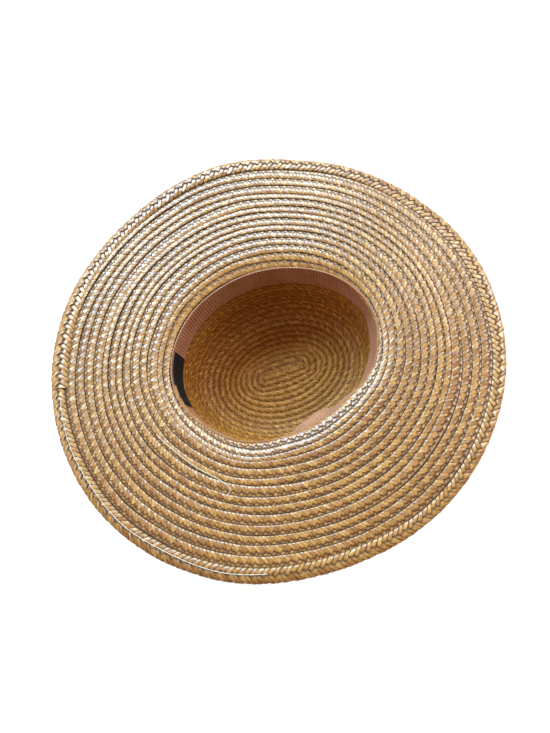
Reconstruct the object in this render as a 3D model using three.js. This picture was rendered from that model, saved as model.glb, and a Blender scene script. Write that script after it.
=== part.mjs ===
// A wide-brimmed sun hat sewn from plaited straw. It lies upside down on the tip of its crown,
// with the head opening up. Millimetres, +X to the front of the hat, +Z up.
import * as THREE from "three";

// The brim at its edge, the head opening, the crown's depth, and how far the opening sits
// forward of the brim's middle.
const brimLength = 422;
const brimWidth = 404.5;
const openingLength = 196.5;
const openingWidth = 160;
const crownDepth = 95;
const openingForward = 2.5;

// The crown: how far its tip is flat either side of the middle, where its wall starts above the
// rounded shoulder, and the folded strip that its spiral of straw starts from.
const tipReach = 43;
const shoulderHeight = 28;
const shoulderInset = 8.5;
const slitLength = 40;

// The straw wall, the rows that it is sewn in, and how far each row stands over its neighbour.
const strawWall = 2;
const rowStep = 1.1;
const crownRowPitch = 7;

// The brim turns down into the crown in a short collar that laps inside the crown's last row.
const collarDrop = 9;
const collarTurn = 4;
const crownLap = 5;

// The finishing plait, sewn over the brim's last row and standing out past it.
const edgeBraidWidth = 9.5;
const edgeBraidWall = 2.2;
const edgeBraidLap = 3.5;

// The ribbon inside the opening, with one place where it has come away from the straw.
const sweatbandHeight = 32;
const sweatbandWall = 0.9;
const sweatbandTop = 2.5;
const sweatbandBulge = 7;
const bulgeAngle = 290;
const bulgeSpread = 35;

// The woven tab sewn to the ribbon at the back.
const labelLength = 52;
const labelHeight = 26;
const labelWall = 0.7;
const labelAngle = 175;

// The clearance between pieces, and the flat faces that go round each of them.
const clearance = 0.3;
const sides = 36;

// The sewn rows of the brim from the opening out, each a share of the brim's own breadth.
const BRIM_ROWS = [
  { pitch: 0.051 }, { pitch: 0.048 }, { pitch: 0.059 }, { pitch: 0.061 }, { pitch: 0.061 },
  { pitch: 0.063 }, { pitch: 0.059 }, { pitch: 0.056 }, { pitch: 0.064 }, { pitch: 0.06 },
  { pitch: 0.055 }, { pitch: 0.082 }, { pitch: 0.068 }, { pitch: 0.071 },
];

// The brim's slow waves every 30 degrees round from the front, as shares of its breadth: how
// far the edge stands out past a plain oval, and how far it rises.
const BRIM_WAVES = [
  { reach: -0.009, lift: -0.02 },
  { reach: -0.009, lift: -0.06 },
  { reach: -0.011, lift: -0.034 },
  { reach: 0.008, lift: 0.036 },
  { reach: 0.002, lift: 0.0 },
  { reach: 0.006, lift: 0.03 },
  { reach: 0.003, lift: 0.028 },
  { reach: 0.018, lift: 0.01 },
  { reach: 0.005, lift: 0.032 },
  { reach: -0.018, lift: -0.008 },
  { reach: 0.002, lift: 0.008 },
  { reach: 0.005, lift: -0.022 },
];

// The opening's dents every 30 degrees round from the front, as shares of half its width.
const OPENING_DENTS = [
  { reach: 0.01 }, { reach: 0.005 }, { reach: -0.005 }, { reach: 0.007 },
  { reach: 0.002 }, { reach: -0.016 }, { reach: 0.0 }, { reach: 0.007 },
  { reach: 0.047 }, { reach: -0.013 }, { reach: -0.045 }, { reach: 0.0 },
];

// An oval is held as its reach, which is half its width, and its stretch, which is how much
// further it reaches to the front and back than to the sides.
const openingReach = openingWidth / 2;
const openingStretch = (openingLength - openingWidth) / 2;
const brimReach = brimWidth / 2;
const brimStretch = (brimLength - brimWidth) / 2;
const brimBreadth = brimReach - openingReach;

// The collar's inner face is the opening. The crown's last row stands just outside the collar.
const halfSection = strawWall / 2 + rowStep / 2;
const collarReach = openingReach + halfSection;
const crownTopReach = collarReach + strawWall + rowStep + clearance;
const crownTop = crownDepth - crownLap;
const tipHeight = halfSection;

// A value from a table whose rows stand at equal angles round the hat, joined smoothly.
function around(table, column, angle) {
  const turn = angle / (2 * Math.PI);
  const place = (turn - Math.floor(turn)) * table.length;
  const row = Math.floor(place) % table.length;
  const ease = (1 - Math.cos(Math.PI * (place - Math.floor(place)))) / 2;
  return table[row][column] * (1 - ease) + table[(row + 1) % table.length][column] * ease;
}

// The first rows follow the folded strip, and the stretch then runs evenly to the opening's.
function stretchAt(reach) {
  if (reach > openingReach) {
    const out = Math.min(1, (reach - openingReach) / brimBreadth);
    return openingStretch + (brimStretch - openingStretch) * out;
  }
  return slitLength / 2 + (openingStretch - slitLength / 2) * (reach / openingReach);
}

// A point of the hat with its dents and waves. The dents fade towards the tip and towards the
// brim's edge, where the waves are strongest.
function hatPoint(angle, reach, height) {
  const out = Math.max(0, reach - crownTopReach) / brimBreadth;
  const rise = Math.max(0, Math.min(1, height / crownDepth));
  const dent = around(OPENING_DENTS, "reach", angle) * openingReach * rise * rise * (1 - out);
  const wave = around(BRIM_WAVES, "reach", angle) * brimBreadth * out * out;
  const lift = around(BRIM_WAVES, "lift", angle) * brimBreadth * out * out;
  const stretch = stretchAt(reach);
  return new THREE.Vector3(
    openingForward * (1 - out) + (reach + stretch + dent + wave) * Math.cos(angle),
    (reach + dent + wave) * Math.sin(angle),
    height + lift,
  );
}

// One closed loop round the hat.
function ring(place) {
  return Array.from({ length: sides }, (unused, side) => place((side / sides) * 2 * Math.PI));
}

// The faces between each ring and the next.
function ringFaces(rings, closed) {
  const faces = [];
  const strips = closed ? rings.length : rings.length - 1;
  for (let strip = 0; strip < strips; strip += 1) {
    for (let side = 0; side < sides; side += 1) {
      const next = (side + 1) % sides;
      const low = strip * sides;
      const high = ((strip + 1) % rings.length) * sides;
      faces.push(low + side, low + next, high + next);
      faces.push(low + side, high + next, high + side);
    }
  }
  return faces;
}

function meshFrom(points, faces) {
  const geometry = new THREE.BufferGeometry().setFromPoints(points);
  geometry.setIndex(faces);
  geometry.computeVertexNormals();
  return geometry;
}

// A closed band whose section is a loop of reach and height, taken outwards first.
function bandMesh(section) {
  const rings = section.map((p) => ring((angle) => hatPoint(angle, p.x, p.y)));
  return meshFrom(rings.flat(), ringFaces(rings, true));
}

// The two faces of one sewn row. Its inner edge stands over the row before on the side that
// faces the head, and its outer edge stands out on the other side.
function sewnRow(curve, from, to) {
  const edges = [[from, rowStep / 2], [to, -rowStep / 2]].map(([stop, step]) => {
    const at = curve.getPointAt(stop / curve.getLength());
    const along = curve.getTangentAt(stop / curve.getLength());
    const normal = new THREE.Vector2(-along.y, along.x);
    return {
      head: at.clone().addScaledVector(normal, step + strawWall / 2),
      back: at.clone().addScaledVector(normal, step - strawWall / 2),
    };
  });
  return { head: edges.map((edge) => edge.head), back: edges.map((edge) => edge.back) };
}

function sewnRows(curve, stops) {
  const rows = stops.slice(1).map((stop, row) => sewnRow(curve, stops[row], stop));
  return { head: rows.flatMap((row) => row.head), back: rows.flatMap((row) => row.back) };
}

// The crown's wall above the shoulder leans out evenly to the opening.
const wallFoot = new THREE.Vector2(crownTopReach - shoulderInset, shoulderHeight);
const wallTop = new THREE.Vector2(crownTopReach, crownTop);

function wallReach(height) {
  const rise = (height - wallFoot.y) / (wallTop.y - wallFoot.y);
  return wallFoot.x + (wallTop.x - wallFoot.x) * rise;
}

// The crown is a spiral of plaited straw: a flat tip, a rounded shoulder and the wall. The
// folded strip in the middle of the tip is a flat plate, which the hat rests on.
function crown() {
  const curve = new THREE.Path();
  curve.moveTo(0, tipHeight);
  curve.lineTo(tipReach, tipHeight);
  curve.bezierCurveTo(
    (tipReach + wallFoot.x) / 2, tipHeight,
    wallReach(shoulderHeight / 2), shoulderHeight / 2,
    wallFoot.x, wallFoot.y,
  );
  curve.lineTo(wallTop.x, wallTop.y);
  const length = curve.getLength();
  const rows = Math.round(length / crownRowPitch);
  const stops = Array.from({ length: rows }, (unused, row) => ((row + 1) * length) / rows);
  const { head, back } = sewnRows(curve, stops);
  const plateEdge = stops[0];
  const plateTop = tipHeight + strawWall / 2 - rowStep / 2;
  const section = [
    new THREE.Vector2(plateEdge, 0),
    ...back,
    ...head.reverse(),
    new THREE.Vector2(plateEdge, plateTop),
  ];
  const rings = section.map((p) => ring((angle) => hatPoint(angle, p.x, p.y)));
  const points = rings.flat();
  const faces = ringFaces(rings, false);
  const bottom = points.push(new THREE.Vector3(openingForward, 0, 0)) - 1;
  const top = points.push(new THREE.Vector3(openingForward, 0, plateTop)) - 1;
  const lastRing = (rings.length - 1) * sides;
  for (let side = 0; side < sides; side += 1) {
    const next = (side + 1) % sides;
    faces.push(bottom, next, side);
    faces.push(top, lastRing + side, lastRing + next);
  }
  return meshFrom(points, faces);
}

// The brim's last row ends under the finishing plait.
const lastRowReach = brimReach - edgeBraidWidth + edgeBraidLap;

function brim() {
  const curve = new THREE.Path();
  curve.moveTo(collarReach, crownDepth - collarDrop);
  curve.lineTo(collarReach, crownDepth - collarTurn);
  curve.quadraticCurveTo(collarReach, crownDepth, collarReach + collarTurn, crownDepth);
  curve.lineTo(lastRowReach, crownDepth);
  const stops = [0, collarDrop];
  for (const row of BRIM_ROWS) {
    stops.push(stops[stops.length - 1] + row.pitch * brimBreadth);
  }
  stops.push(curve.getLength());
  const { head, back } = sewnRows(curve, stops);
  return bandMesh([...back, ...head.reverse()]);
}

// The finishing plait leans as the rows do, and clears the outer edge of the last row.
function edgeBraid() {
  const lean = rowStep / edgeBraidWidth;
  const overEdge = crownDepth + strawWall / 2 - rowStep / 2 + clearance;
  const inner = lastRowReach - edgeBraidLap;
  const innerHeight = overEdge + lean * edgeBraidLap;
  const outerHeight = innerHeight - lean * edgeBraidWidth;
  return bandMesh([
    new THREE.Vector2(inner, innerHeight),
    new THREE.Vector2(brimReach, outerHeight),
    new THREE.Vector2(brimReach, outerHeight + edgeBraidWall),
    new THREE.Vector2(inner, innerHeight + edgeBraidWall),
  ]);
}

// The ribbon's outer face clears the collar at its top and the crown's rows at its bottom.
const bandTop = crownDepth - sweatbandTop;
const bandBottom = bandTop - sweatbandHeight;

function bandReach(height) {
  const down = (bandTop - height) / sweatbandHeight;
  const atTop = openingReach - clearance;
  const atBottom = Math.min(atTop, wallReach(bandBottom) - halfSection - clearance);
  return atTop + (atBottom - atTop) * down;
}

// Where the ribbon has come away it curves inwards, most at its lower edge.
function bandPoint(angle, height, inset) {
  const down = (bandTop - height) / sweatbandHeight;
  const spread = THREE.MathUtils.degToRad(bulgeSpread);
  const off = Math.abs(angle - THREE.MathUtils.degToRad(bulgeAngle));
  const bulge = off < spread ? (1 + Math.cos((Math.PI * off) / spread)) / 2 : 0;
  return hatPoint(angle, bandReach(height) - inset - sweatbandBulge * bulge * down, height);
}

function sweatband() {
  const middle = (bandTop + bandBottom) / 2;
  const outer = [bandBottom, middle, bandTop];
  const rings = [
    ...outer.map((height) => ring((angle) => bandPoint(angle, height, 0))),
    ...outer.reverse().map((height) => ring((angle) => bandPoint(angle, height, sweatbandWall))),
  ];
  return meshFrom(rings.flat(), ringFaces(rings, true));
}

// The tab follows the ribbon's own flat faces, so that it lies close to each of them.
function label() {
  const middle = THREE.MathUtils.degToRad(labelAngle);
  const halfTurn = labelLength / 2 / (openingReach + openingStretch);
  const face = (2 * Math.PI) / sides;
  const turns = [middle - halfTurn];
  for (let step = Math.ceil(turns[0] / face); step * face < middle + halfTurn; step += 1) {
    turns.push(step * face);
  }
  turns.push(middle + halfTurn);
  const onRibbon = (angle, height, inset) => {
    const before = Math.floor(angle / face + 1e-6) * face;
    const from = bandPoint(before, height, inset);
    return from.lerp(bandPoint(before + face, height, inset), (angle - before) / face);
  };
  const low = bandBottom + (sweatbandHeight - labelHeight) / 2;
  const inset = sweatbandWall + clearance;
  const corners = [
    [low, inset], [low, inset + labelWall],
    [low + labelHeight, inset + labelWall], [low + labelHeight, inset],
  ];
  const points = turns.flatMap((turn) => corners.map((corner) => onRibbon(turn, ...corner)));
  const faces = [];
  for (let strip = 0; strip + 1 < turns.length; strip += 1) {
    for (let corner = 0; corner < 4; corner += 1) {
      const next = (corner + 1) % 4;
      const here = strip * 4;
      faces.push(here + corner, here + next, here + 4 + next);
      faces.push(here + corner, here + 4 + next, here + 4 + corner);
    }
  }
  const end = points.length - 4;
  faces.push(0, 2, 1, 0, 3, 2, end, end + 1, end + 2, end, end + 2, end + 3);
  return meshFrom(points, faces);
}

function piece(name, geometry, colour, roughness) {
  const material = new THREE.MeshStandardMaterial({ color: colour, roughness, metalness: 0 });
  const mesh = new THREE.Mesh(geometry, material);
  mesh.name = name;
  return mesh;
}

const hat = new THREE.Group();
hat.add(piece("crown", crown(), 0xb08d57, 0.6));
hat.add(piece("brim", brim(), 0xcbae7c, 0.55));
hat.add(piece("edge_braid", edgeBraid(), 0xcfb381, 0.55));
hat.add(piece("sweatband", sweatband(), 0xb98d86, 0.8));
hat.add(piece("label", label(), 0x17181a, 0.85));

// The origin is the middle of the hat's box, on the surface that it lies on.
const box = new THREE.Box3().setFromObject(hat);
hat.position.set(-(box.min.x + box.max.x) / 2, -(box.min.y + box.max.y) / 2, -box.min.z);
hat.updateMatrixWorld(true);

export default hat;
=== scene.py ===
import bisect
import math

import bmesh
import bpy
from mathutils import Matrix, Vector, noise


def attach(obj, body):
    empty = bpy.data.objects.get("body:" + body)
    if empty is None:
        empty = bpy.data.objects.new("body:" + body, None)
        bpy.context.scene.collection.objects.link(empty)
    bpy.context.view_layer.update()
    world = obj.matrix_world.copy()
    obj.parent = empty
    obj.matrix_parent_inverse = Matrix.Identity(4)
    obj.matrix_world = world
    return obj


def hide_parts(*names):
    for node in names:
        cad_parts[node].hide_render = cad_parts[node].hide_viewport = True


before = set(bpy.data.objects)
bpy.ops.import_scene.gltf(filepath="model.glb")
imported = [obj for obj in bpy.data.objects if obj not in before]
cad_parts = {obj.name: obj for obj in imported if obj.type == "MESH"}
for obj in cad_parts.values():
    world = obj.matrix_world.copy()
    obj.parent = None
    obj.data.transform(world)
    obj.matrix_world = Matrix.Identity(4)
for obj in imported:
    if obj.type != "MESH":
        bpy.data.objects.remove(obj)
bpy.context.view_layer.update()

# The camera looks down into the hat from its left side, turned on its own axis as a hand-held
# phone is. It aims near the middle of the brim, at the height of the head opening.
opening_height = 0.095
camera_elevation = math.radians(74.6)
camera_turn = math.radians(5.9)
camera_roll = math.radians(25.1)
camera_distance = 0.5016
camera_lens = 27.0
hat_middle = Vector((0.00056, -0.0015, 0))
aim_right = -0.0022
aim_back = -0.0161

turned = Matrix.Rotation(camera_turn, 3, "Z")
look_right = turned @ Vector((1, 0, 0))
look_back = turned @ Vector((0, -math.cos(camera_elevation), math.sin(camera_elevation)))
look_up = look_back.cross(look_right)
camera_right = look_right * math.cos(camera_roll) - look_up * math.sin(camera_roll)
camera_up = look_back.cross(camera_right)
aim = hat_middle + turned @ Vector((aim_right, aim_back, opening_height))
camera_place = Matrix((camera_right, camera_up, look_back)).transposed()
bpy.ops.object.camera_add(
    location=aim + look_back * camera_distance,
    rotation=camera_place.to_euler(),
)
camera = bpy.context.object
camera.data.lens = camera_lens
camera.data.clip_start = 0.01
bpy.context.scene.camera = camera

# The crown is one long plait of five flat wheat straws, sewn in a spiral from a folded strip in
# the tip, over the shoulder and up the wall. Each row lies over the row before on the side that
# faces the head.
opening_half_width = 0.080
opening_stretch = 0.01825
opening_forward = 0.0025
brim_half_width = 0.20225
brim_stretch = 0.00875
brim_breadth = brim_half_width - opening_half_width
slit_half_length = 0.020
tip_half_width = 0.043
tip_height = 0.0024
tip_turn_reach = 0.03
tip_squareness = 1.6
shoulder_height = 0.028
shoulder_inset = 0.0085
crown_top_half_width = 0.08495
crown_top_height = 0.090

# The brim's waves out and up, as shares of its breadth, and the dents of the crown's wall, as
# shares of half the opening's width. They are given every thirty degrees, from the front round by
# the right side.
WAVE_REACH = (
    -0.009, -0.009, -0.011, 0.008, 0.002, 0.006, 0.003, 0.018, 0.005, -0.018, 0.002, 0.005,
)
WAVE_LIFT = (-0.02, -0.06, -0.034, 0.036, 0.0, 0.03, 0.028, 0.01, 0.032, -0.008, 0.008, -0.022)
DENT_REACH = (0.01, 0.005, -0.005, 0.007, 0.002, -0.016, 0.0, 0.007, 0.047, -0.013, -0.045, 0.0)


def around(values, angle):
    """A value at an angle, eased between values that are spread evenly round the hat."""
    place = (angle / math.tau % 1) * len(values)
    first = int(place) % len(values)
    ease = (1 - math.cos(math.pi * (place - int(place)))) / 2
    return values[first] * (1 - ease) + values[(first + 1) % len(values)] * ease


def hat_point(angle, reach, height):
    """A point of the hat's wall, with its dents and waves.

    Reach is half the hat's width there, and stretch is how much more half its length is.
    """
    out = max(0, reach - crown_top_half_width) / brim_breadth
    rise = max(0, min(1, height / opening_height))
    dent = around(DENT_REACH, angle) * opening_half_width * rise * rise * (1 - out)
    wave = around(WAVE_REACH, angle) * brim_breadth * out * out
    lift = around(WAVE_LIFT, angle) * brim_breadth * out * out
    if reach > opening_half_width:
        share = min(1, (reach - opening_half_width) / brim_breadth)
        stretch = opening_stretch + (brim_stretch - opening_stretch) * share
    else:
        share = reach / opening_half_width
        stretch = slit_half_length + (opening_stretch - slit_half_length) * share
    side = reach + dent + wave
    square = 1 + tip_squareness * max(0, 1 - reach / tip_turn_reach)
    along = max(-1, min(1, square * math.cos(angle)))
    x = stretch * along + side * math.cos(angle) + opening_forward * (1 - out)
    return hat_middle + Vector((x, side * math.sin(angle), height + lift))


def smooth_profile(stretches, steps=24):
    """A line of (distance, reach, height) through straight stretches and rounded turns."""
    line = []
    for stretch in stretches:
        count = 1 if len(stretch) == 2 else steps
        for step in range(count + 1):
            t = step / count
            held = [Vector(p) for p in stretch]
            while len(held) > 1:
                held = [a.lerp(b, t) for a, b in zip(held, held[1:])]
            line.append(held[0])
    profile = [(0.0, line[0].x, line[0].y)]
    for before, after in zip(line, line[1:]):
        gone = (after - before).length
        if gone > 1e-9:
            profile.append((profile[-1][0] + gone, after.x, after.y))
    return profile


def profile_at(profile, distance):
    """The reach and the height at a distance along a profile."""
    for before, after in zip(profile, profile[1:]):
        if distance <= after[0] or after is profile[-1]:
            t = (distance - before[0]) / (after[0] - before[0])
            return before[1] + (after[1] - before[1]) * t, before[2] + (after[2] - before[2]) * t


slope_step = 0.001


def plait_path(name, profile, places, clockwise=False):
    """A curve for a plait to follow: places hold angle, distance, lean, breadth and lift."""
    data = bpy.data.curves.new(name, "CURVE")
    data.dimensions = "3D"
    data.twist_mode = "Z_UP"
    spline = data.splines.new("POLY")
    spline.points.add(len(places) - 1)
    for point, (angle, distance, lean, breadth, lift) in zip(spline.points, places):
        here = hat_point(angle, *profile_at(profile, distance))
        on = hat_point(angle, *profile_at(profile, distance + slope_step))
        outward = Vector((math.cos(angle), math.sin(angle), 0))
        slope = math.atan2(on.z - here.z, (on - here).dot(outward))
        normal = Vector((0, 0, math.cos(slope))) - outward * math.sin(slope)
        point.co = (*(here + normal * lift), 1)
        point.tilt = (slope - lean) if clockwise else (lean - slope)
        point.radius = breadth
    path = bpy.data.objects.new(name, data)
    bpy.context.collection.objects.link(path)
    return path


def path_lengths(path):
    """The length gone at each point of a path."""
    points = [Vector(p.co[:3]) for p in path.data.splines[0].points]
    gone = [0.0]
    for before, after in zip(points, points[1:]):
        gone.append(gone[-1] + (after - before).length)
    return gone


def path_length(path):
    """The whole length of a path."""
    return path_lengths(path)[-1]


# How one straw goes round the plait, ring by ring: which crossing it is on, its share of the way
# over, the same share in its pattern, how near it is to a fold, and its height in thicknesses.
STRAW_RINGS = (
    (0, 0.00, 0.00, 1.0, 0.0),
    (0, 0.06, 0.06, 0.9, 0.52),
    (0, 0.36, 0.36, 0.3, 0.75),
    (0, 0.46, 0.46, 0.3, 0.70),
    (0, 0.56, 0.58, 0.3, -0.52),
    (0, 0.94, 0.94, 0.9, -0.52),
    (1, 0.00, 0.00, 1.0, 0.0),
    (1, 0.06, 0.06, 0.9, 0.52),
    (1, 0.38, 0.42, 0.3, 0.52),
    (1, 0.50, 0.56, 0.3, -0.40),
    (1, 0.94, 0.94, 0.9, -0.52),
)

# A straw is six-sided. Its upper and lower faces are a little broader than even sides would be,
# and it spreads where it lies flat. It takes most of the width of its own surface pattern.
straw_count = 5
face_spread = 1.1
flat_spread = 1.2
pattern_share = 0.9


def pick(mesh, chosen):
    """Selects the vertices of the edited mesh that a test chooses."""
    shape = bmesh.from_edit_mesh(mesh)
    for vertex in shape.verts:
        vertex.select = chosen(vertex)
    shape.select_flush_mode()
    bmesh.update_edit_mesh(mesh)


def pick_edges(mesh, axis, shortest):
    """Selects the edges of the edited mesh that run further than a length along an axis."""
    shape = bmesh.from_edit_mesh(mesh)
    for edge in shape.edges:
        edge.select = abs(edge.verts[0].co[axis] - edge.verts[1].co[axis]) > shortest
    bmesh.update_edit_mesh(mesh)


def one_straw(name, pitch, plait_width, fill, wall, curl):
    """One flat straw over a turn of the plait. It folds at each edge and dives halfway over."""
    period = straw_count * pitch
    travel = plait_width - wall
    slant = math.atan(travel / (period / 2))
    rings = len(STRAW_RINGS)
    marks = [(crossing + mark) / 2 for crossing, share, mark, folded, height in STRAW_RINGS] + [1.0]
    bpy.ops.object.select_all(action="DESELECT")
    bpy.ops.mesh.primitive_cylinder_add(
        vertices=6, radius=0.5, depth=period, end_fill_type="NOTHING",
        location=(period / 2, 0, 0), rotation=(0, math.pi / 2, 0),
    )
    straw = bpy.context.object
    straw.name = name
    bpy.ops.object.transform_apply(location=True, rotation=True, scale=True)
    bpy.ops.object.mode_set(mode="EDIT")
    bpy.ops.mesh.select_mode(type="EDGE")
    pick_edges(straw.data, 0, period / 2)
    bpy.ops.mesh.subdivide(number_cuts=rings - 1)
    bpy.ops.mesh.select_mode(type="VERT")
    bpy.ops.mesh.select_all(action="SELECT")
    bpy.ops.transform.rotate(value=math.pi / 2, orient_axis="X", center_override=(0, 0, 0))
    pick(straw.data, lambda vertex: abs(vertex.co.z) > 0.1)
    bpy.ops.transform.resize(value=(1, face_spread, 1), center_override=(0, 0, 0))
    bpy.ops.object.mode_set(mode="OBJECT")
    places = [round(vertex.co.x / period * rings) for vertex in straw.data.vertices]
    layer = straw.data.uv_layers.active.data
    for loop in straw.data.loops:
        across = straw.data.vertices[loop.vertex_index].co.y
        layer[loop.index].uv = (marks[places[loop.vertex_index]], 0.5 + pattern_share * across)
    bpy.ops.object.mode_set(mode="EDIT")
    for ring in range(rings + 1):
        crossing, share, mark, folded, height = STRAW_RINGS[ring % rings]
        turn = (crossing + share) / 2 + ring // rings
        x = ring / rings * period
        across = travel / 2 * (1 - 2 * share) * (-1 if crossing else 1)
        angle = slant + (math.pi / 2 - slant) * folded
        width = pitch * fill * math.sin(slant) / math.cos(angle - slant)
        width *= flat_spread if folded < 0.5 else 1
        if share == 0:
            roll = math.pi / 2
        else:
            roll = math.pi if crossing else 0
        lift = wall * height - curl * (across / travel * 2) ** 2
        pick(straw.data, lambda vertex: places[vertex.index] == ring)
        bpy.ops.transform.resize(value=(1, width, wall), center_override=(x, 0, 0))
        bpy.ops.transform.rotate(value=angle, orient_axis="Z", center_override=(x, 0, 0))
        bpy.ops.transform.rotate(value=roll, orient_axis="X", center_override=(x, 0, 0))
        bpy.ops.transform.translate(value=(turn * period - x, across, lift))
    bpy.ops.object.mode_set(mode="OBJECT")
    return straw


weld_distance = 0.00002

# The straws don't lie quite straight: along the middle of the plait they sway to and fro, and a
# little up and down.
sway_share = 0.085
sway_lift = 0.0002


def repeat(piece, step, count, pattern_step=0.0):
    """Repeats a length of something along X, welded end to end."""
    copies = piece.modifiers.new("repeat", "ARRAY")
    copies.use_relative_offset = False
    copies.use_constant_offset = True
    copies.constant_offset_displace = (step, 0, 0)
    copies.count = count
    copies.offset_u = pattern_step
    copies.use_merge_vertices = True
    copies.merge_threshold = weld_distance
    bpy.ops.object.modifier_apply(modifier=copies.name)


def plait(name, pitch, width, fill, wall, curl, copies, first):
    """A straight length of plait, made of one straw that is copied, joined and repeated."""
    period = straw_count * pitch
    straw = one_straw(name, pitch, width, fill, wall, curl)
    parts = [straw]
    for number in range(1, straw_count):
        copy = straw.copy()
        copy.data = straw.data.copy()
        bpy.context.collection.objects.link(copy)
        for vertex in copy.data.vertices:
            vertex.co.x += number * pitch
        for loop in copy.data.uv_layers.active.data:
            loop.uv.y += number
        parts.append(copy)
    bpy.ops.object.select_all(action="DESELECT")
    for part in parts:
        part.select_set(True)
    bpy.context.view_layer.objects.active = straw
    bpy.ops.object.join()
    for vertex in straw.data.vertices:
        vertex.co.x += (first - 1) * period
    for loop in straw.data.uv_layers.active.data:
        loop.uv.x += first
    repeat(straw, period, copies, 1.0)
    for vertex in straw.data.vertices:
        inside = max(0, 1 - (2 * vertex.co.y / width) ** 2)
        sway = math.sin(math.pi * vertex.co.x / pitch) * inside
        vertex.co.y += sway * sway_share * width
        vertex.co.z += sway * sway_lift
    return straw


def trim(piece, start, end):
    """Cuts a straight plait square at both ends and closes every open straw."""
    bpy.ops.object.mode_set(mode="EDIT")
    for x, side in ((start, -1), (end, 1)):
        bpy.ops.mesh.select_all(action="SELECT")
        bpy.ops.mesh.bisect(plane_co=(x, 0, 0), plane_no=(side, 0, 0), clear_outer=True)
    bpy.ops.mesh.select_all(action="SELECT")
    bpy.ops.mesh.fill_holes(sides=16)
    bpy.ops.object.mode_set(mode="OBJECT")


def bend(piece, path):
    """Bends a straight length along a path."""
    along = piece.modifiers.new("bend", "CURVE")
    along.object = path
    along.deform_axis = "POS_X"
    bpy.ops.object.modifier_apply(modifier=along.name)


unevenness = bpy.data.textures.new("straw unevenness", "CLOUDS")
unevenness.noise_scale = 0.005
unevenness.cloud_type = "COLOR"
unevenness_depth = 0.0010


def lay(piece, path):
    """Bends a straight plait along its path, then makes it a little uneven."""
    bend(piece, path)
    rough = piece.modifiers.new("uneven", "DISPLACE")
    rough.texture = unevenness
    rough.direction = "RGB_TO_XYZ"
    rough.strength = unevenness_depth
    rough.mid_level = 0.5
    bpy.ops.object.modifier_apply(modifier=rough.name)
    bpy.ops.object.select_all(action="DESELECT")
    piece.select_set(True)
    bpy.context.view_layer.objects.active = piece
    bpy.ops.object.shade_smooth_by_angle(angle=math.radians(45))


def new_material(name):
    """A material with its node tree and its shader."""
    material = bpy.data.materials.new(name)
    material.use_nodes = True
    return material, material.node_tree, material.node_tree.nodes["Principled BSDF"]


def reckon(tree, operation, *values):
    """The result of a Math node on sockets and numbers."""
    node = tree.nodes.new("ShaderNodeMath")
    node.operation = operation
    for socket, value in zip(node.inputs, values):
        if isinstance(value, (int, float)):
            socket.default_value = value
        else:
            tree.links.new(value, socket)
    return node.outputs[0]


def fade(tree, value, start, end, at_start, at_end):
    """Turns a value into one that goes from at_start to at_end between start and end."""
    node = tree.nodes.new("ShaderNodeMapRange")
    node.inputs["From Min"].default_value = start
    node.inputs["From Max"].default_value = end
    node.inputs["To Min"].default_value = at_start
    node.inputs["To Max"].default_value = at_end
    tree.links.new(value, node.inputs["Value"])
    return node.outputs[0]


def blend(tree, factor, under, over):
    """One colour laid over another by a factor. A colour is a socket or three numbers."""
    node = tree.nodes.new("ShaderNodeMix")
    node.data_type = "RGBA"
    tree.links.new(factor, node.inputs["Factor"])
    for name, colour in (("A", under), ("B", over)):
        if isinstance(colour, tuple):
            node.inputs[name].default_value = (*colour, 1)
        else:
            tree.links.new(colour, node.inputs[name])
    return node.outputs["Result"]


def grain(tree, scale, detail=2.0, roughness=0.5, place=None):
    """Soft noise, in the piece's own space unless another place is given."""
    node = tree.nodes.new("ShaderNodeTexNoise")
    node.inputs["Scale"].default_value = scale
    node.inputs["Detail"].default_value = detail
    node.inputs["Roughness"].default_value = roughness
    place = place or tree.nodes.new("ShaderNodeTexCoord").outputs["Object"]
    tree.links.new(place, node.inputs["Vector"])
    return node.outputs["Fac"]


def tone_ramp(tree, value, low, high, *between):
    """A colour from a value, by ramp stops of position and colour."""
    node = tree.nodes.new("ShaderNodeValToRGB")
    elements = node.color_ramp.elements
    for element, (position, colour) in zip(elements, (low, high)):
        element.position = position
        element.color = (*colour, 1)
    for position, colour in between:
        elements.new(position).color = (*colour, 1)
    tree.links.new(value, node.inputs["Fac"])
    return node.outputs["Color"]


relief_depth = 0.0002


def relief(tree, shader, height, strength):
    """Fine relief that is too small to model."""
    node = tree.nodes.new("ShaderNodeBump")
    node.inputs["Strength"].default_value = strength
    node.inputs["Distance"].default_value = relief_depth
    tree.links.new(height, node.inputs["Height"])
    tree.links.new(node.outputs["Normal"], shader.inputs["Normal"])


# A straw lasts for five turns of the plait, and the next one has its own tone. Straws side by side
# don't end at the same place. The colour comes from fibres, from patches and from that tone.
straw_turns = 5.0
straw_shift = 2.37
fibre_share = 0.42
patch_share = 0.42
tone_share = 0.16


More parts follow.
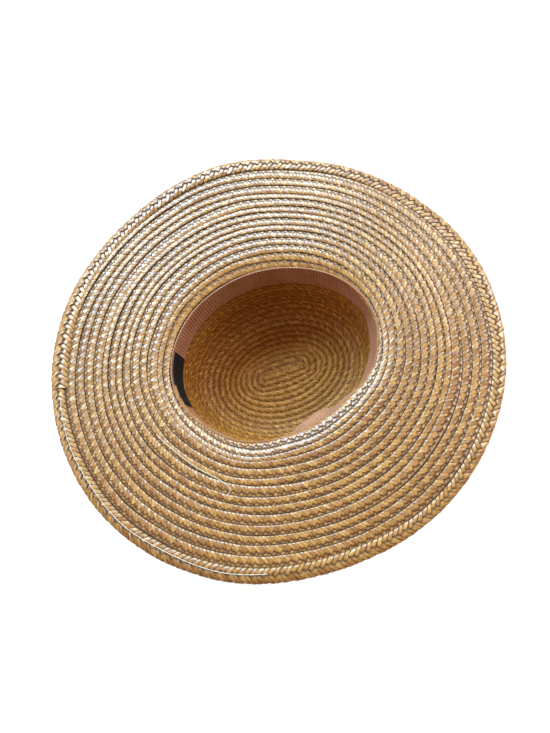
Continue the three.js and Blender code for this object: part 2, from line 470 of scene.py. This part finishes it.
def straw_tone(tree, uv, dark, middle, light, orange):
    """The straw's colour. It changes from straw to straw and in patches, with fibres along it."""
    split = tree.nodes.new("ShaderNodeSeparateXYZ")
    tree.links.new(uv, split.inputs["Vector"])
    straw = reckon(tree, "FLOOR", split.outputs["Y"])
    shifted = reckon(tree, "MULTIPLY_ADD", straw, straw_shift, split.outputs["X"])
    number = reckon(tree, "FLOOR", reckon(tree, "DIVIDE", shifted, straw_turns))
    key = tree.nodes.new("ShaderNodeCombineXYZ")
    tree.links.new(straw, key.inputs["X"])
    tree.links.new(number, key.inputs["Y"])
    own = tree.nodes.new("ShaderNodeTexWhiteNoise")
    own.noise_dimensions = "3D"
    tree.links.new(key.outputs[0], own.inputs["Vector"])
    stretched = tree.nodes.new("ShaderNodeMapping")
    stretched.inputs["Scale"].default_value = (2.5, 18, 1)
    tree.links.new(uv, stretched.inputs["Vector"])
    fibres = grain(tree, 1.0, detail=3, place=stretched.outputs[0])
    patches = grain(tree, 380, detail=6, roughness=0.7)
    streaks = reckon(tree, "MULTIPLY", fibres, fibre_share)
    patched = reckon(tree, "MULTIPLY_ADD", patches, patch_share, streaks)
    value = reckon(tree, "MULTIPLY_ADD", own.outputs["Value"], tone_share, patched)
    tone = tone_ramp(tree, value, (0.32, dark), (0.68, light), (0.5, middle))
    chance = tree.nodes.new("ShaderNodeSeparateColor")
    tree.links.new(own.outputs["Color"], chance.inputs["Color"])
    rare = reckon(tree, "GREATER_THAN", chance.outputs["Green"], 0.97)
    return blend(tree, rare, tone, orange), fibres, split


def straw_material(name, dark, middle, light, orange, painted_edge_highlight, painted_shade_colour, tone_left_in_row_shade, tone_left_in_side_shade, gloss):
    """Flattened wheat straw, with a painted highlight along a row's free edge, and painted shade,
    dark and dull, at the fold's tip, under the next row, where a straw lies under the others and
    between straws.

    Two shares say how much of the straw's tone is left in the painted shade between rows and
    between straws.
    """
    material, tree, shader = new_material(name)
    uv = tree.nodes.new("ShaderNodeUVMap").outputs["UV"]
    tone, fibres, split = straw_tone(tree, uv, dark, middle, light, orange)
    across = reckon(tree, "SUBTRACT", reckon(tree, "FRACT", split.outputs["Y"]), 0.5)
    # Painted shade: each straw's tone darkens towards its side edges, where it meets its neighbours.
    painted_straw_side_shade = fade(tree, reckon(tree, "ABSOLUTE", across), 0.30, 0.44, 1.0, tone_left_in_side_shade)
    arm = reckon(tree, "FRACT", reckon(tree, "MULTIPLY", split.outputs["X"], 2.0))
    # Painted shade: the half of each turn where the straw dives and lies under the others is
    # darkened.
    painted_underside_shade = fade(tree, arm, 0.37, 0.49, 1.0, 0.22)
    row = tree.nodes.new("ShaderNodeAttribute")
    row.attribute_name = "across_row"
    # Painted highlight: a paler tone along each row's free edge.
    painted_edge_highlight_mask = fade(tree, row.outputs["Fac"], 0.03, 0.10, 1.0, 0.0)
    # Painted shade: darker at the very tip of the fold.
    painted_fold_tip_shade = fade(tree, row.outputs["Fac"], 0.02, 0.055, tone_left_in_row_shade, 1.0)
    # Painted shade: darker just inside the next row's free edge, where the row runs in under it.
    painted_lap_shade = fade(tree, row.outputs["Fac"], 0.82, 0.93, 1.0, tone_left_in_row_shade)
    # Bare is the share of the straw's own tone left outside all the painted shade; the rest is the
    # deep shade colour, and the gloss goes dull there.
    bare = reckon(tree, "MULTIPLY", painted_straw_side_shade, painted_underside_shade)
    for shade in (painted_fold_tip_shade, painted_lap_shade):
        bare = reckon(tree, "MULTIPLY", bare, shade)
    colour = blend(tree, bare, painted_shade_colour, blend(tree, painted_edge_highlight_mask, tone, painted_edge_highlight))
    tree.links.new(colour, shader.inputs["Base Color"])
    tree.links.new(fade(tree, bare, 0.2, 0.9, 0.9, 0.58 - 0.22 * gloss), shader.inputs["Roughness"])
    skin = reckon(tree, "MULTIPLY", bare, reckon(tree, "MULTIPLY_ADD", painted_edge_highlight_mask, -0.8 * gloss, gloss))
    tree.links.new(skin, shader.inputs["Coat Weight"])
    shader.inputs["Coat Roughness"].default_value = 0.26
    shader.inputs["Specular IOR Level"].default_value = 0.1 + 0.5 * gloss
    relief(tree, shader, fibres, 0.5)
    return material


crown_plait_width = 0.0085
crown_straw_pitch = 0.0037
crown_row_pitch = 0.0063
straw_wall = 0.0008
lap_height = 2.1 * straw_wall
crown_lean = math.asin(lap_height / crown_row_pitch)

wall_lean = shoulder_inset / (crown_top_height - shoulder_height)
wall_foot = (crown_top_half_width - shoulder_inset, shoulder_height)
wall_mid = (wall_foot[0] - wall_lean * shoulder_height / 2, shoulder_height / 2)
crown_profile = smooth_profile([
    ((0, tip_height), (tip_half_width, tip_height)),
    (
        (tip_half_width, tip_height),
        ((tip_half_width + wall_foot[0]) / 2, tip_height),
        wall_mid,
        wall_foot,
    ),
    (wall_foot, (crown_top_half_width, crown_top_height)),
])
crown_end = crown_profile[-1][0] - crown_row_pitch / 2
crown_steps = 90
crown_wander = 0.0004

# The plait keeps its distance for a little over half a turn, where it is folded round the strip,
# and then moves out by one row a turn. Near the strip the steps are half as long.
strip_share = 0.36
strip_turns = 0.58
close_reach = 0.02

crown_places = []
step = 0
distance = 0
while distance < crown_end:
    turns = step / crown_steps
    distance = crown_row_pitch * (strip_share + max(0, turns - strip_turns))
    wander = noise.noise(Vector((turns * 2.1, 3.7, 0))) * crown_wander
    crown_places.append((math.tau * turns, distance + wander, crown_lean, 1, 0))
    step += 1 if profile_at(crown_profile, distance)[0] > close_reach else 0.5
crown_path = plait_path("crown path", crown_profile, crown_places)

# Painted shade: the crown's straw is the brim's straw painted a little darker and browner, for the
# shade inside the crown.
crown_straw = straw_material(
    "crown straw", dark=(0.17, 0.053, 0.007), middle=(0.40, 0.145, 0.020),
    light=(0.68, 0.295, 0.056), orange=(0.31, 0.085, 0.010), painted_edge_highlight=(0.52, 0.21, 0.04),
    painted_shade_colour=(0.09, 0.027, 0.0035), tone_left_in_row_shade=0.45, tone_left_in_side_shade=0.4, gloss=0.15,
)


def mark_rows(piece, lengths, row_pitches, width, inner):
    """Stores how far across its visible row each vertex lies: 0 is the free inner edge."""
    marks = piece.data.attributes.new("across_row", "FLOAT", "POINT")
    values = []
    for vertex in piece.data.vertices:
        place = min(bisect.bisect(lengths, vertex.co.x), len(lengths) - 1)
        values.append((width / 2 - inner * vertex.co.y) / row_pitches[place])
    marks.data.foreach_set("value", values)


def laid_rows(name, path, material, row_pitches, pieces, pitch, width, fill, wall, curl, inner=1):
    """A long plait in a few pieces, each short enough to stay a light mesh.

    Fill is each straw's width as a share of its pitch, and curl is how far the plait's edges drop.
    Inner says which side faces the hat's middle: 1 is the plait's left and -1 its right.
    """
    lengths = path_lengths(path)
    length = lengths[-1]
    copies = math.ceil((length / (straw_count * pitch) + 1) / pieces)
    made = []
    for number in range(pieces):
        piece = plait(
            f"{name}_{number + 1}", pitch, width, fill, wall, curl, copies, number * copies,
        )

        # Only the plait's own two ends are cut. The other cuts lie clear of the piece.
        start = 0 if number == 0 else -length
        end = length if number == pieces - 1 else 2 * length
        trim(piece, start, end)
        mark_rows(piece, lengths, row_pitches, width, inner)
        lay(piece, path)
        piece.data.materials.clear()
        piece.data.materials.append(material)
        made.append(piece)
    return made


crown_rows = laid_rows(
    "crown_rows", crown_path, crown_straw, [crown_row_pitch] * len(crown_places), pieces=2,
    pitch=crown_straw_pitch, width=crown_plait_width, fill=1.1, wall=straw_wall, curl=0.0004,
)
for piece in crown_rows:
    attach(piece, "root")
    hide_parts("crown")

# The brim goes on from the crown's plait: a collar row turns out over the opening, and wider and
# narrower rows follow, each sewn over the edge of the row before.
brim_plait_width = 0.0112
brim_straw_pitch = 0.0037
collar_drop = 0.009
collar_half_width = 0.08155
collar_turn_start = opening_height - 0.0055
collar_turn_mid = (collar_half_width + 0.0020, opening_height - 0.0018)
collar_turn_end = (collar_half_width + 0.0175, opening_height)
brim_rim = 0.1245
brim_start = math.pi
brim_turns = 13.92

# How far out the free edge of each row lies, in millimetres along the brim. It is given six times
# a turn, from the back round by the left side, the front and the right side.
ROW_EDGES = (
    0.0, 0.5, 2.0, 0.5, 3.0, 5.0,
    5.5, 9.0, 12.0, 6.0, 10.0, 13.0,
    12.0, 16.0, 18.0, 12.0, 18.0, 18.5,
    16.5, 20.5, 25.0, 20.0, 26.0, 28.0,
    27.0, 27.0, 34.0, 27.5, 33.5, 36.5,
    34.5, 35.5, 42.0, 36.0, 41.0, 45.0,
    44.0, 42.0, 50.0, 42.0, 47.5, 50.5,
    52.0, 52.0, 57.0, 51.5, 55.0, 58.0,
    59.0, 59.5, 64.0, 58.5, 61.5, 66.0,
    66.5, 66.5, 72.0, 66.0, 68.5, 70.0,
    73.5, 76.0, 78.5, 71.5, 76.5, 80.5,
    82.0, 84.0, 89.0, 81.0, 82.5, 89.0,
    91.0, 92.0, 96.0, 91.0, 92.0, 95.5,
    100.5, 101.5, 104.0, 100.0, 100.0, 105.0,
    109.5, 111.0, 113.5, 110.5, 111.0, 109.5,
    118.0, 118.0, 119.0, 118.0, 118.0, 118.0,
)

brim_profile = smooth_profile([
    ((collar_half_width, opening_height - collar_drop), (collar_half_width, collar_turn_start)),
    ((collar_half_width, collar_turn_start), collar_turn_mid, collar_turn_end),
    (collar_turn_end, (brim_half_width + 0.02, opening_height)),
])
brim_steps = 140
brim_wander = 0.0007
row_lap = 0.003
least_pitch = 0.005
least_breadth = 0.93
most_breadth = 1.15

# The first rows lie flatter than the later ones, which lean over the row before.
flat_turns = 3.5
flat_share = 0.1
most_slope = 0.3


def through(values, place):
    """A value part of the way along a list, on a smooth line through its values."""
    first = max(0, min(int(place), len(values) - 2))
    t = place - first
    a, b, c, d = (values[max(0, min(len(values) - 1, first + k))] for k in (-1, 0, 1, 2))
    return b + 0.5 * t * (c - a + t * (2 * a - 5 * b + 4 * c - d + t * (3 * (b - c) + d - a)))


def row_edge(turns):
    """Where the free edge of the row lies after some turns."""
    return through(ROW_EDGES, max(0, turns) * 6) / 1000


brim_places = []
brim_pitches = []
for step in range(int(brim_steps * brim_turns) + 1):
    turns = step / brim_steps
    angle = brim_start + math.tau * turns
    pitch = max(least_pitch, row_edge(turns + 1) - row_edge(turns))
    breadth = (pitch + row_lap) / brim_plait_width
    breadth = max(least_breadth, min(most_breadth, breadth))
    wander = noise.noise(Vector((math.cos(angle) * 4, math.sin(angle) * 4, turns * 0.8)))
    distance = row_edge(turns) + breadth * brim_plait_width / 2 + wander * brim_wander
    full_lean = math.asin(min(most_slope, lap_height / pitch))
    lean = full_lean * (flat_share + (1 - flat_share) * min(1, turns / flat_turns))
    brim_places.append((angle, distance, lean, breadth, 0))
    brim_pitches.append(pitch / breadth)
brim_path = plait_path("brim path", brim_profile, brim_places)

brim_straw = straw_material(
    "brim straw", dark=(0.18, 0.052, 0.007), middle=(0.42, 0.152, 0.024),
    light=(0.72, 0.345, 0.082), orange=(0.33, 0.09, 0.012), painted_edge_highlight=(0.53, 0.235, 0.055),
    painted_shade_colour=(0.06, 0.018, 0.003), tone_left_in_row_shade=0.1, tone_left_in_side_shade=0.35, gloss=1.0,
)
brim_rows = laid_rows(
    "brim_rows", brim_path, brim_straw, brim_pitches, pieces=3,
    pitch=brim_straw_pitch, width=brim_plait_width, fill=0.98, wall=straw_wall, curl=0.0003,
)
for piece in brim_rows:
    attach(piece, "root")
    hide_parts("brim")

# The finishing plait is coarser and wider. It lies over the last row and runs once round the rim,
# the other way, from a square cut near the back, where its end lies under its start.
edge_plait_width = 0.0136
edge_straw_pitch = 0.0050
edge_start = math.radians(168)
edge_steps = 150
edge_overlap = 4
edge_lean = math.radians(6)
edge_lift = 0.0010
cut_steps = 12
cut_shift = 0.002

# No row laps over this plait, so its row pitch is more than its width.
edge_row_pitch = 0.02

# How far out its inner edge lies, in millimetres along the brim, every thirty degrees from the
# front round by the right side.
EDGE_INNER = (110.5, 109.5, 111.0, 110.0, 109.5, 107.5, 109.5, 111.0, 111.0, 111.5, 113.5, 112.0)

edge_places = []
for step in range(-1, edge_steps + edge_overlap):
    angle = edge_start - math.tau * step / edge_steps
    near_start = max(0, 1 - step / cut_steps)
    near_end = max(0, 1 - (edge_steps - step) / cut_steps)
    inner_edge = around(EDGE_INNER, angle) / 1000 + cut_shift * (near_end - near_start)
    breadth = (brim_rim - inner_edge) / edge_plait_width
    lift = edge_lift * (1 - near_end)
    edge_places.append((angle, (brim_rim + inner_edge) / 2, edge_lean, breadth, lift))
edge_path = plait_path("edge path", brim_profile, edge_places, clockwise=True)

edge_straw = straw_material(
    "edge straw", dark=(0.19, 0.056, 0.008), middle=(0.43, 0.158, 0.026),
    light=(0.72, 0.345, 0.082), orange=(0.33, 0.09, 0.012), painted_edge_highlight=(0.53, 0.235, 0.055),
    painted_shade_colour=(0.06, 0.018, 0.003), tone_left_in_row_shade=0.3, tone_left_in_side_shade=0.3, gloss=1.0,
)
edge_rows = laid_rows(
    "edge_rows", edge_path, edge_straw, [edge_row_pitch] * len(edge_places), pieces=1,
    pitch=edge_straw_pitch, width=edge_plait_width, fill=0.90, wall=0.0012, curl=0.0012, inner=-1,
)
for piece in edge_rows:
    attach(piece, "root")
    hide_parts("edge_braid")

for path in (crown_path, brim_path, edge_path):
    bpy.data.objects.remove(path)

# Two pale cotton threads show on the straw between the back and the left side: the end of the
# sewing thread, which lies loose on the brim, and the seam thread along the finishing plait. Their
# routes are in degrees round the hat and millimetres out along the brim.
thread_width = 0.0007
thread_rise = 0.4
above_straw = 0.02
LOOSE_ROUTE = ((200, 39), (211, 38), (222, 39), (231, 40), (236, 43), (238.5, 47), (238, 53))
SEAM_ROUTE = ((174, 115), (187, 116), (200, 115), (213, 116.5), (226, 115.5), (240, 117), (252, 116))


def straw_height(place):
    """How high the straw's surface lies at a place."""
    heights = [place.z]
    start = place + Vector((0, 0, above_straw))
    for piece in brim_rows + edge_rows:
        hit, point, normal, face = piece.ray_cast(start, Vector((0, 0, -1)))
        if hit:
            heights.append(point.z)
    return max(heights)


def thread(name, route, steps):
    """A bare thread that lies on the straw along a route."""
    points = []
    for step in range(steps + 1):
        place = step / steps * (len(route) - 1)
        angle = math.radians(through([degrees for degrees, out in route], place))
        out = through([out for degrees, out in route], place) / 1000
        points.append(hat_point(angle, *profile_at(brim_profile, out)))
        points[-1].z = straw_height(points[-1])
    heights = [point.z for point in points]
    data = bpy.data.curves.new(name, "CURVE")
    data.dimensions = "3D"
    data.bevel_depth = thread_width / 2
    data.bevel_resolution = 1
    data.use_fill_caps = True
    spline = data.splines.new("POLY")
    spline.points.add(steps)
    for number, point in enumerate(points):
        near = heights[max(0, number - 1):number + 2]
        point.z = (max(near) + sum(near) / len(near)) / 2 + thread_width * thread_rise
        spline.points[number].co = (*point, 1)
    piece = bpy.data.objects.new(name, data)
    bpy.context.collection.objects.link(piece)
    data.materials.append(cotton)
    return piece


cotton, cotton_tree, cotton_shader = new_material("pale cotton")
cotton_tone = tone_ramp(
    cotton_tree, grain(cotton_tree, 900), (0.3, (0.55, 0.42, 0.30)), (0.7, (0.78, 0.64, 0.48)),
)
cotton_tree.links.new(cotton_tone, cotton_shader.inputs["Base Color"])
cotton_shader.inputs["Roughness"].default_value = 0.85

bpy.context.view_layer.update()
loose_thread = thread("loose_thread", LOOSE_ROUTE, 90)
seam_thread = thread("seam_thread", SEAM_ROUTE, 200)
for piece in (loose_thread, seam_thread):
    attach(piece, "root")

# The sweatband is a rose ribbon with cords across it, sewn on edge inside the opening. Its lower
# edge leaves the wall from the left side round to the front, where it was sewn slack.
band_height = 0.032
band_top = 0.0915
band_start = math.radians(268)
band_overlap = math.radians(6)
band_half_width = 0.0794
band_lean = math.radians(3.6)
rib_pitch = 0.0030
rib_wall = 0.0008
rib_depth = 0.00045
slack_pick = 0.006

# Where its lower edge stands off the wall: degrees round the hat, how far in, and how wide around.
SLACK = ((277, 0.010, 0.028), (293, 0.006, 0.034), (318, 0.003, 0.036), (342, 0.004, 0.040))


def ring_path(name, half_width, height, start, end, steps, lean):
    """A curve round the hat's inside at one height, for a strip that stands on edge."""
    data = bpy.data.curves.new(name, "CURVE")
    data.dimensions = "3D"
    data.twist_mode = "Z_UP"
    spline = data.splines.new("POLY")
    spline.points.add(steps)
    for step, point in enumerate(spline.points):
        angle = start + (end - start) * step / steps
        point.co = (*hat_point(angle, half_width, height), 1)
        point.tilt = lean
    path = bpy.data.objects.new(name, data)
    bpy.context.collection.objects.link(path)
    return path


band_path = ring_path(
    "band path", band_half_width, band_top - band_height / 2, band_start,
    band_start + math.tau + band_overlap, 288, band_lean,
)
band_length = path_length(band_path)
rib_count = round(band_length / rib_pitch)
rib_step = band_length / rib_count
bpy.ops.object.select_all(action="DESELECT")
bpy.ops.mesh.primitive_cube_add(
    size=1, location=(rib_step / 2, 0, 0), scale=(rib_step, rib_wall, band_height),
)
ribbon = bpy.context.object
ribbon.name = "sweatband_ribbon"
bpy.ops.object.transform_apply(location=True, rotation=True, scale=True)
bpy.ops.object.mode_set(mode="EDIT")
bpy.ops.mesh.select_mode(type="FACE")
shape = bmesh.from_edit_mesh(ribbon.data)
for face in shape.faces:
    face.select = abs(face.normal.x) > 0.9
bmesh.update_edit_mesh(ribbon.data)
bpy.ops.mesh.delete(type="ONLY_FACE")
bpy.ops.mesh.select_all(action="SELECT")
bpy.ops.mesh.select_mode(type="EDGE")
pick_edges(ribbon.data, 0, rib_step / 2)
bpy.ops.mesh.subdivide(number_cuts=3)
pick_edges(ribbon.data, 2, band_height / 2)
bpy.ops.mesh.subdivide(number_cuts=9)
bpy.ops.mesh.select_mode(type="VERT")
pick(ribbon.data, lambda vertex: abs(vertex.co.x - rib_step / 2) < rib_step / 8)
bpy.ops.transform.translate(value=(0, rib_depth, 0))
pick(ribbon.data, lambda vertex: min(vertex.co.x, rib_step - vertex.co.x) < rib_step / 8)
bpy.ops.transform.translate(value=(0, -rib_depth, 0))
bpy.ops.object.mode_set(mode="OBJECT")
repeat(ribbon, rib_step, rib_count)
bend(ribbon, band_path)
bpy.ops.object.mode_set(mode="EDIT")
bpy.ops.mesh.select_all(action="SELECT")
bpy.ops.mesh.fill_holes(sides=30)
for degrees, depth, reach in SLACK:
    slack_angle = math.radians(degrees)
    slack_place = hat_point(slack_angle, band_half_width, band_top - band_height)
    pick(ribbon.data, lambda vertex: (vertex.co - slack_place).length < slack_pick)
    inward = Vector((math.cos(slack_angle), math.sin(slack_angle), 0)) * -depth
    bpy.ops.transform.translate(
        value=inward, use_proportional_edit=True, proportional_edit_falloff="SMOOTH",
        proportional_size=reach, use_proportional_connected=True,
    )
bpy.ops.object.mode_set(mode="OBJECT")
bpy.ops.object.shade_smooth_by_angle(angle=math.radians(50))
bpy.data.objects.remove(band_path)

rose, rose_tree, rose_shader = new_material("rose ribbon")
rose_tone = tone_ramp(
    rose_tree, grain(rose_tree, 60, detail=5),
    (0.3, (0.39, 0.135, 0.052)), (0.7, (0.48, 0.205, 0.10)),
)
rose_tree.links.new(rose_tone, rose_shader.inputs["Base Color"])
relief(rose_tree, rose_shader, grain(rose_tree, 2500), 0.3)
rose_shader.inputs["Roughness"].default_value = 0.6
rose_shader.inputs["Sheen Weight"].default_value = 0.15
rose_shader.inputs["Sheen Tint"].default_value = (1.0, 0.85, 0.8, 1)
ribbon.data.materials.append(rose)
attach(ribbon, "root")
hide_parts("sweatband")

# The tab is a plain black woven label, sewn flat on the ribbon at the back.
tab_length = 0.052
tab_height = 0.026
tab_wall = 0.0007
tab_angle = math.radians(175)
tab_half_turn = math.radians(15.6)
tab_half_width = band_half_width - 0.0014
tab_middle = band_top - 0.0165
tab_path = ring_path(
    "tab path", tab_half_width, tab_middle, tab_angle - tab_half_turn,
    tab_angle + tab_half_turn, 40, band_lean,
)
bpy.ops.object.select_all(action="DESELECT")
bpy.ops.mesh.primitive_cube_add(
    size=1, location=(path_length(tab_path) / 2, 0, 0), scale=(tab_length, tab_wall, tab_height),
)
tab = bpy.context.object
tab.name = "woven_tab"
bpy.ops.object.transform_apply(location=True, rotation=True, scale=True)
bpy.ops.object.mode_set(mode="EDIT")
bpy.ops.mesh.select_mode(type="EDGE")
pick_edges(tab.data, 0, tab_length / 2)
bpy.ops.mesh.subdivide(number_cuts=25)
pick_edges(tab.data, 2, tab_height / 2)
bpy.ops.mesh.subdivide(number_cuts=9)
bpy.ops.object.mode_set(mode="OBJECT")
soft_edges = tab.modifiers.new("soft edges", "BEVEL")
soft_edges.width = 0.0002
soft_edges.segments = 2
soft_edges.limit_method = "ANGLE"
bpy.ops.object.modifier_apply(modifier=soft_edges.name)
bend(tab, tab_path)
bpy.ops.object.shade_smooth_by_angle(angle=math.radians(40))
bpy.data.objects.remove(tab_path)

black, black_tree, black_shader = new_material("black woven tab")
relief(black_tree, black_shader, grain(black_tree, 1800), 0.4)
black_shader.inputs["Base Color"].default_value = (0.010, 0.010, 0.011, 1)
black_shader.inputs["Roughness"].default_value = 0.65
black_shader.inputs["Specular IOR Level"].default_value = 0.2
tab.data.materials.append(black)
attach(tab, "root")
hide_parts("label")

# The hat lies on a plain pale floor. A broad soft light comes from beyond its far side, and weaker
# ones from both ends, from above and from all round.
bpy.ops.mesh.primitive_plane_add(size=6, location=(0, 0, 0))
floor = bpy.context.object
floor.name = "floor"
floor_material, _, floor_shader = new_material("pale floor")
floor_shader.inputs["Base Color"].default_value = (0.4, 0.4, 0.4, 1)
floor_shader.inputs["Roughness"].default_value = 0.9
floor_shader.inputs["Specular IOR Level"].default_value = 0.0
floor_shader.inputs["Emission Color"].default_value = (1, 1, 1, 1)
floor_shader.inputs["Emission Strength"].default_value = 0.85
floor.data.materials.append(floor_material)

studio = bpy.data.worlds.new("soft studio")
bpy.context.scene.world = studio
studio.use_nodes = True
studio.node_tree.nodes["Background"].inputs["Color"].default_value = (1.0, 0.92, 0.82, 1)
studio.node_tree.nodes["Background"].inputs["Strength"].default_value = 0.22


def soft_light(name, place, size, power, colour):
    """A soft rectangular light that faces the hat."""
    bpy.ops.object.light_add(type="AREA", location=place)
    light = bpy.context.object
    light.name = name
    light.data.shape = "RECTANGLE"
    light.data.size, light.data.size_y = size
    light.data.energy = power
    light.data.color = colour
    light.rotation_euler = Vector(place).to_track_quat("Z", "Y").to_euler()


soft_light("far window", (-0.1, 1.15, 1.2), (1.9, 0.8), 78, (0.46, 0.78, 1.0))
soft_light("right window", (1.35, 0.25, 1.0), (0.9, 0.8), 22, (0.80, 0.91, 1.0))
soft_light("left window", (-1.35, 0.3, 1.0), (0.7, 0.7), 6, (0.95, 0.97, 1.0))
soft_light("warm ceiling", (0.1, -0.55, 1.8), (1.2, 1.0), 4, (1.0, 0.80, 0.58))

bpy.context.scene.view_settings.view_transform = "Standard"
